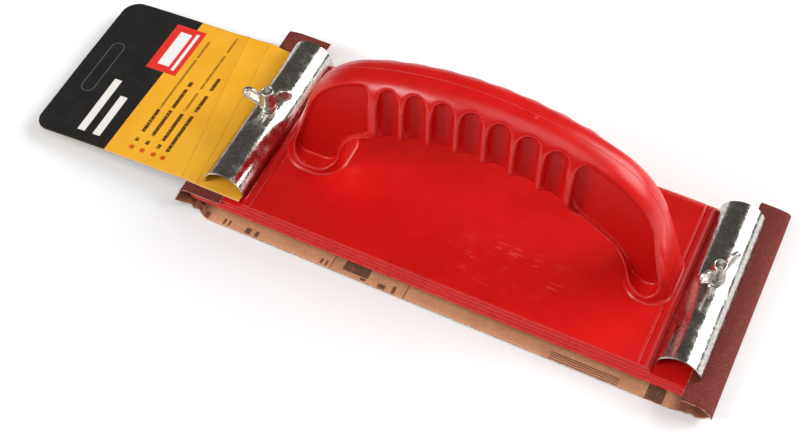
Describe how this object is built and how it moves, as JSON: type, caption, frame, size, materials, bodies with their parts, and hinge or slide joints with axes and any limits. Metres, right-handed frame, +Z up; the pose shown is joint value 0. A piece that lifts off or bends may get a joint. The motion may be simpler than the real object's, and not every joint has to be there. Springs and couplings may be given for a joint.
{
  "type": "hand sander",
  "caption": "Hand sander with a bridge handle on a moulded base, abrasive sheet wrapped round a rubber pad and held by half-round clamps with wing nuts, hang card under one clamp.",
  "frame": {"origin": "centre of the moulded base, on the underside of the fitted abrasive sheet", "axes": "+X along the sander away from the hang card, +Y across it, +Z up through the handle"},
  "size_m": [0.3235, 0.1064, 0.086],
  "materials": {
    "red_plastic": "satin",
    "rubber": "matte",
    "galvanised_steel": "mottled zinc",
    "zinc_plated_steel": "bright zinc plate",
    "abrasive_paper": "grit",
    "printed_card": "coated card"
  },
  "bodies": {
    "sander": {"base_plate": "red_plastic", "handle": "red_plastic", "rubber_pad": "rubber", "stud_left": "zinc_plated_steel", "stud_right": "zinc_plated_steel", "sandpaper_sheet": "abrasive_paper", "header_card": "printed_card"},
    "left_clamp": {"clamp_left": "galvanised_steel"},
    "right_clamp": {"clamp_right": "galvanised_steel"},
    "left_nut": {"wing_nut_left": "zinc_plated_steel"},
    "right_nut": {"wing_nut_right": "zinc_plated_steel"}
  },
  "joints": [
    {"name": "left_clamp_lift", "type": "slide", "parent": "sander", "child": "left_clamp", "axis": [0, 0, 1], "range_m": [0, 0.00437]},
    {"name": "left_nut_spin", "type": "hinge", "parent": "left_clamp", "child": "left_nut", "pos_m": [-0.1033, 0.003, 0], "axis": [0, 0, 1], "range_deg": [0, 2250]},
    {"name": "right_clamp_lift", "type": "slide", "parent": "sander", "child": "right_clamp", "axis": [0, 0, 1], "range_m": [0, 0.00437]},
    {"name": "right_nut_spin", "type": "hinge", "parent": "right_clamp", "child": "right_nut", "pos_m": [0.1033, 0.003, 0], "axis": [0, 0, 1], "range_deg": [0, 2250]}
  ],
  "couplings": [
    {"joint": "left_nut_spin", "follows": "left_clamp_lift", "rad_per_m": 8976},
    {"joint": "right_nut_spin", "follows": "right_clamp_lift", "rad_per_m": 8976}
  ]
}
